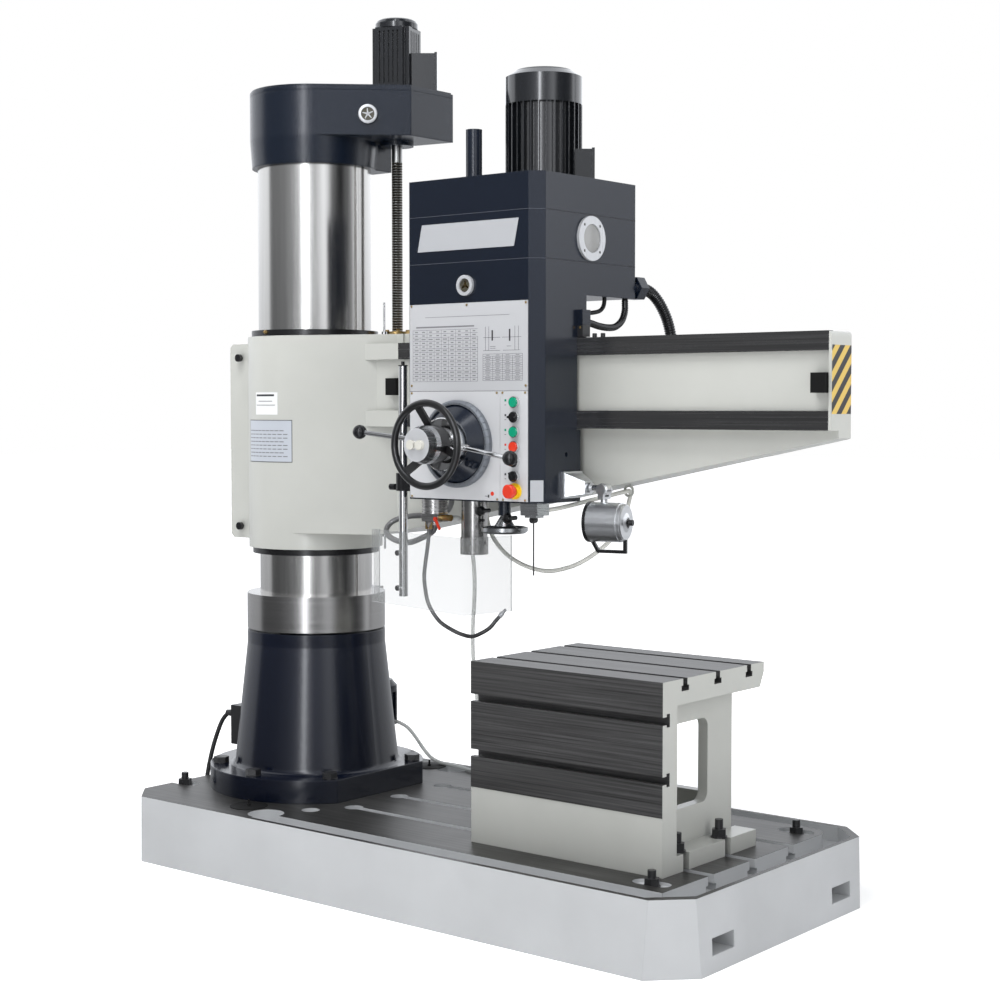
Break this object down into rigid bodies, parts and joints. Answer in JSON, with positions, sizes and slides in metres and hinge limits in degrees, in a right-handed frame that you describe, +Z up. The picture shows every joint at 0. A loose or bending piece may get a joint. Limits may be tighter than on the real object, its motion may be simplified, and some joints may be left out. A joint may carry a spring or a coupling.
{
  "type": "radial arm drill",
  "caption": "Radial arm drilling machine: head travels along a rising, swinging arm on a round column, over a slotted base with a box table.",
  "frame": {"origin": "on the column's axis, at the base's underside (the floor)", "axes": "+Z up along the column, +X along the base and the arm away from the column, -Y towards the operator"},
  "size_m": [2.2893, 1.4006, 2.5773],
  "materials": {
    "ground_iron": "ground",
    "pale_paint": "satin paint",
    "dark_paint": "satin paint",
    "bright_steel": "turned",
    "dark_steel": "blackened",
    "black_motor": "gloss paint",
    "chrome": "polished",
    "black_plastic": "smooth",
    "grey_plate": "printed sheet",
    "brass": "turned",
    "black_rubber": "matt",
    "clear_hose": "translucent",
    "braid": "braided",
    "pale_hose": "smooth",
    "green_plastic": "smooth",
    "red_plastic": "smooth",
    "ivory_plastic": "smooth",
    "clear_sheet": "clear",
    "red_plug": "moulded"
  },
  "bodies": {
    "base": {"base_plate": "ground_iron", "base_bolts": "dark_steel", "box_table": "pale_paint", "table_tee_bolts": "dark_steel", "column_pedestal": "dark_paint", "inner_column": "bright_steel", "junction_box": "black_plastic", "power_cable": "black_rubber", "power_cable_coil": "black_rubber", "power_plug": "red_plug", "coolant_pump": "dark_paint", "coolant_hose": "clear_hose"},
    "column": {"outer_column": "bright_steel", "column_clamp_ring": "bright_steel", "cap_housing": "dark_paint", "cap_cover": "dark_paint", "lift_motor": "black_motor"},
    "screw": {"lift_screw": "bright_steel"},
    "arm": {"arm_casting": "pale_paint", "arm_ways": "dark_steel", "wiper_rings": "black_rubber", "lift_nut": "brass", "electric_cabinet": "pale_paint", "travel_buffers": "black_rubber", "limit_rod": "chrome", "head_conduit": "black_plastic"},
    "head": {"head_housing": "dark_paint", "head_gearbox": "dark_paint", "head_cover": "dark_paint", "front_plates": "grey_plate", "main_motor": "black_motor", "head_sights": "chrome", "depth_dial": "dark_steel", "hub_barrel": "chrome", "coolant_manifold": "bright_steel", "head_hoses": "braid", "guide_hose": "pale_hose", "lamp_bracket": "bright_steel", "guard_clamp": "black_plastic", "trip_switch": "bright_steel"},
    "wheel": {"handwheel": "black_plastic"},
    "hub": {"feed_hub": "bright_steel"},
    "quill": {"quill": "bright_steel"},
    "spindle": {"spindle": "bright_steel"},
    "fine_wheel": {"fine_wheel": "chrome"},
    "selector_upper": {"selector_upper": "black_plastic"},
    "selector_middle": {"selector_middle": "black_plastic"},
    "selector_lower": {"selector_lower": "black_plastic"},
    "green_button_upper": {"green_button_upper": "green_plastic"},
    "green_button_lower": {"green_button_lower": "green_plastic"},
    "red_button": {"red_button": "red_plastic"},
    "stop_button": {"stop_button": "red_plastic"},
    "clamp_button_left": {"clamp_button_left": "ivory_plastic"},
    "clamp_button_right": {"clamp_button_right": "ivory_plastic"},
    "lamp_arm": {"lamp_arm": "chrome"},
    "lamp": {"lamp": "bright_steel"},
    "valve_lever": {"valve_lever": "red_plastic"},
    "trip_rod": {"trip_rod": "chrome"},
    "guard": {"guard_post": "chrome", "guard_sheet": "clear_sheet"}
  },
  "joints": [
    {"name": "column_swing", "type": "hinge", "parent": "base", "child": "column", "pos_m": [0, 0, 0.8], "axis": [0, 0, 1], "range_deg": [-180, 180]},
    {"name": "screw_spin", "type": "hinge", "parent": "column", "child": "screw", "pos_m": [0.21, 0.152, 1.8], "axis": [0, 0, 1], "continuous": true},
    {"name": "arm_lift", "type": "slide", "parent": "column", "child": "arm", "axis": [0, 0, 1], "range_m": [0, 0.48], "deforming": ["coolant_hose"]},
    {"name": "head_traverse", "type": "slide", "parent": "arm", "child": "head", "axis": [1, 0, 0], "range_m": [-0.12, 0.7], "deforming": ["guide_hose", "head_conduit"]},
    {"name": "handwheel_turn", "type": "hinge", "parent": "head", "child": "wheel", "pos_m": [0.82, -0.41, 1.282], "axis": [0, -1, 0], "continuous": true},
    {"name": "quill_feed", "type": "slide", "parent": "head", "child": "quill", "axis": [0, 0, -1], "range_m": [0, 0.27]},
    {"name": "feed_levers", "type": "hinge", "parent": "head", "child": "hub", "pos_m": [0.82, -0.33, 1.282], "axis": [0, -1, 0], "range_deg": [-5, 805]},
    {"name": "spindle_spin", "type": "hinge", "parent": "quill", "child": "spindle", "pos_m": [0.803, -0.185, 1.3], "axis": [0, 0, 1], "continuous": true},
    {"name": "fine_feed", "type": "hinge", "parent": "head", "child": "fine_wheel", "pos_m": [0.948, -0.23, 1.058], "axis": [0, 0, 1], "continuous": true},
    {"name": "selector_upper_turn", "type": "hinge", "parent": "head", "child": "selector_upper", "pos_m": [1.02, -0.28, 1.3565], "axis": [0, -1, 0], "range_deg": [-60, 60]},
    {"name": "selector_middle_turn", "type": "hinge", "parent": "head", "child": "selector_middle", "pos_m": [1.02, -0.28, 1.2374], "axis": [0, -1, 0], "range_deg": [-60, 60]},
    {"name": "selector_lower_turn", "type": "hinge", "parent": "head", "child": "selector_lower", "pos_m": [1.02, -0.28, 1.1977], "axis": [0, -1, 0], "range_deg": [-60, 60]},
    {"name": "green_button_upper_push", "type": "slide", "parent": "head", "child": "green_button_upper", "axis": [0, 1, 0], "range_m": [0, 0.003], "stiffness_N_per_m": 400, "springref_m": -0.002},
    {"name": "green_button_lower_push", "type": "slide", "parent": "head", "child": "green_button_lower", "axis": [0, 1, 0], "range_m": [0, 0.003], "stiffness_N_per_m": 400, "springref_m": -0.002},
    {"name": "red_button_push", "type": "slide", "parent": "head", "child": "red_button", "axis": [0, 1, 0], "range_m": [0, 0.003], "stiffness_N_per_m": 400, "springref_m": -0.002},
    {"name": "stop_button_push", "type": "slide", "parent": "head", "child": "stop_button", "axis": [0, 1, 0], "range_m": [0, 0.005], "stiffness_N_per_m": 600, "springref_m": -0.002},
    {"name": "clamp_button_left_push", "type": "slide", "parent": "head", "child": "clamp_button_left", "axis": [0, 1, 0], "range_m": [0, 0.003], "stiffness_N_per_m": 400, "springref_m": -0.002},
    {"name": "clamp_button_right_push", "type": "slide", "parent": "head", "child": "clamp_button_right", "axis": [0, 1, 0], "range_m": [0, 0.003], "stiffness_N_per_m": 400, "springref_m": -0.002},
    {"name": "lamp_pan", "type": "hinge", "parent": "head", "child": "lamp_arm", "pos_m": [1.13, -0.12, 1.166], "axis": [1, 0, 0], "range_deg": [-40, 40]},
    {"name": "lamp_tilt", "type": "hinge", "parent": "lamp_arm", "child": "lamp", "pos_m": [1.202, -0.12, 1.162], "axis": [0, 1, 0], "range_deg": [-18, 16]},
    {"name": "coolant_valve", "type": "hinge", "parent": "head", "child": "valve_lever", "pos_m": [0.72, -0.255, 1.071], "axis": [0, -1, 0], "range_deg": [-60, 60]},
    {"name": "trip_rod_tilt", "type": "hinge", "parent": "head", "child": "trip_rod", "pos_m": [1.048, -0.23, 1.08], "axis": [0, 1, 0], "range_deg": [-5, 5], "stiffness_Nm_per_rad": 2},
    {"name": "guard_swing", "type": "hinge", "parent": "head", "child": "guard", "pos_m": [0.586, -0.24, 1.17], "axis": [0, 0, 1], "range_deg": [-12, 0]}
  ],
  "couplings": [
    {"joint": "screw_spin", "follows": "arm_lift", "rad_per_m": 1047.2},
    {"joint": "handwheel_turn", "follows": "head_traverse", "rad_per_m": 66.667},
    {"joint": "feed_levers", "follows": "quill_feed", "rad_per_m": 51.282}
  ]
}
